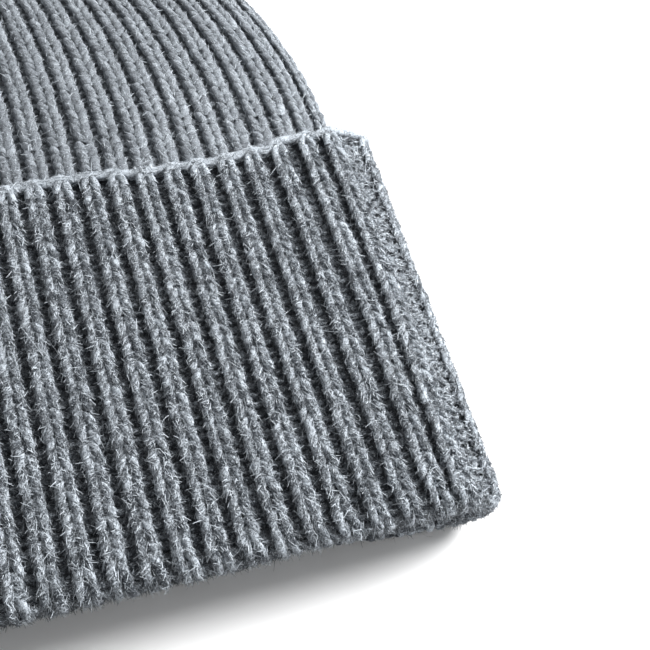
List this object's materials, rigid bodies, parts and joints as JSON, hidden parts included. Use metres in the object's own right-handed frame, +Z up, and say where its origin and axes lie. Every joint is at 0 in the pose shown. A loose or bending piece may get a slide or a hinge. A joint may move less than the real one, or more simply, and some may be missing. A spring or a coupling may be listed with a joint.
{
  "type": "knit beanie",
  "caption": "Ribbed knit beanie lying flat, with a deep turned-up cuff that folds down and a gathered crown.",
  "frame": {"origin": "bottom centre of the bounding box, on the surface that the hat lies on", "axes": "+X across the hat, +Y from the hem fold to the crown, +Z up from the surface"},
  "size_m": [0.2074, 0.201, 0.0167],
  "materials": {
    "rib_knit": "heather grey wool yarn, soft rib knit with loose surface fibres",
    "edge_knit": "heather grey wool yarn, chain of cast-on loops",
    "seam_yarn": "heather grey wool yarn, plied"
  },
  "bodies": {
    "hat_body": {"body_front": "rib_knit", "body_back": "rib_knit", "back_seam_yarn": "seam_yarn", "hem_fold_front": "rib_knit", "hem_fold_back": "rib_knit", "crown_gore_front": "rib_knit", "crown_gore_back": "rib_knit", "crown_gore_left": "rib_knit", "crown_gore_right": "rib_knit", "crown_gather_yarn": "seam_yarn", "crown_yarn_tail": "seam_yarn"},
    "cuff_front_flap": {"cuff_front": "rib_knit", "cast_on_edge_front": "edge_knit"},
    "cuff_back_flap": {"cuff_back": "rib_knit", "cast_on_edge_back": "edge_knit", "cuff_seam_yarn": "seam_yarn"},
    "cuff_side_right_1": {"cuff_side_rib_right_1": "rib_knit"},
    "cuff_side_right_2": {"cuff_side_rib_right_2": "rib_knit"},
    "cuff_side_right_3": {"cuff_side_rib_right_3": "rib_knit"},
    "cuff_side_right_4": {"cuff_side_rib_right_4": "rib_knit"},
    "cuff_side_right_5": {"cuff_side_rib_right_5": "rib_knit"},
    "cuff_side_left_1": {"cuff_side_rib_left_1": "rib_knit"},
    "cuff_side_left_2": {"cuff_side_rib_left_2": "rib_knit"},
    "cuff_side_left_3": {"cuff_side_rib_left_3": "rib_knit"},
    "cuff_side_left_4": {"cuff_side_rib_left_4": "rib_knit"},
    "cuff_side_left_5": {"cuff_side_rib_left_5": "rib_knit"}
  },
  "joints": [
    {"name": "cuff_front_turn", "type": "hinge", "parent": "hat_body", "child": "cuff_front_flap", "pos_m": [0, -0.099, 0.0153], "axis": [1, 0, 0], "range_deg": [0, 180]},
    {"name": "cuff_back_turn", "type": "hinge", "parent": "hat_body", "child": "cuff_back_flap", "pos_m": [0, -0.094, 0.0014], "axis": [-1, 0, 0], "range_deg": [0, 180]},
    {"name": "cuff_side_right_1_turn", "type": "hinge", "parent": "hat_body", "child": "cuff_side_right_1", "pos_m": [0.09755, -0.09895, 0.01496], "axis": [0.9511, 0, -0.309], "range_deg": [0, 180]},
    {"name": "cuff_side_right_2_turn", "type": "hinge", "parent": "hat_body", "child": "cuff_side_right_2", "pos_m": [0.10102, -0.09855, 0.01243], "axis": [0.5878, 0, -0.809], "range_deg": [0, 180]},
    {"name": "cuff_side_right_3_turn", "type": "hinge", "parent": "hat_body", "child": "cuff_side_right_3", "pos_m": [0.10235, -0.09775, 0.00835], "axis": [0, 0, -1], "range_deg": [0, 180]},
    {"name": "cuff_side_right_4_turn", "type": "hinge", "parent": "hat_body", "child": "cuff_side_right_4", "pos_m": [0.10102, -0.09655, 0.00426], "axis": [-0.5878, 0, -0.809], "range_deg": [0, 180]},
    {"name": "cuff_side_right_5_turn", "type": "hinge", "parent": "hat_body", "child": "cuff_side_right_5", "pos_m": [0.09755, -0.09495, 0.00174], "axis": [-0.9511, 0, -0.309], "range_deg": [0, 180]},
    {"name": "cuff_side_left_1_turn", "type": "hinge", "parent": "hat_body", "child": "cuff_side_left_1", "pos_m": [-0.09755, -0.09895, 0.01496], "axis": [0.9511, 0, 0.309], "range_deg": [0, 180]},
    {"name": "cuff_side_left_2_turn", "type": "hinge", "parent": "hat_body", "child": "cuff_side_left_2", "pos_m": [-0.10102, -0.09855, 0.01243], "axis": [0.5878, 0, 0.809], "range_deg": [0, 180]},
    {"name": "cuff_side_left_3_turn", "type": "hinge", "parent": "hat_body", "child": "cuff_side_left_3", "pos_m": [-0.10235, -0.09775, 0.00835], "axis": [0, 0, 1], "range_deg": [0, 180]},
    {"name": "cuff_side_left_4_turn", "type": "hinge", "parent": "hat_body", "child": "cuff_side_left_4", "pos_m": [-0.10102, -0.09655, 0.00426], "axis": [-0.5878, 0, 0.809], "range_deg": [0, 180]},
    {"name": "cuff_side_left_5_turn", "type": "hinge", "parent": "hat_body", "child": "cuff_side_left_5", "pos_m": [-0.09755, -0.09495, 0.00174], "axis": [-0.9511, 0, 0.309], "range_deg": [0, 180]}
  ],
  "couplings": [
    {"joint": "cuff_back_turn", "follows": "cuff_front_turn", "ratio": 1},
    {"joint": "cuff_side_right_1_turn", "follows": "cuff_front_turn", "ratio": 1},
    {"joint": "cuff_side_right_2_turn", "follows": "cuff_front_turn", "ratio": 1},
    {"joint": "cuff_side_right_3_turn", "follows": "cuff_front_turn", "ratio": 1},
    {"joint": "cuff_side_right_4_turn", "follows": "cuff_front_turn", "ratio": 1},
    {"joint": "cuff_side_right_5_turn", "follows": "cuff_front_turn", "ratio": 1},
    {"joint": "cuff_side_left_1_turn", "follows": "cuff_front_turn", "ratio": 1},
    {"joint": "cuff_side_left_2_turn", "follows": "cuff_front_turn", "ratio": 1},
    {"joint": "cuff_side_left_3_turn", "follows": "cuff_front_turn", "ratio": 1},
    {"joint": "cuff_side_left_4_turn", "follows": "cuff_front_turn", "ratio": 1},
    {"joint": "cuff_side_left_5_turn", "follows": "cuff_front_turn", "ratio": 1}
  ]
}
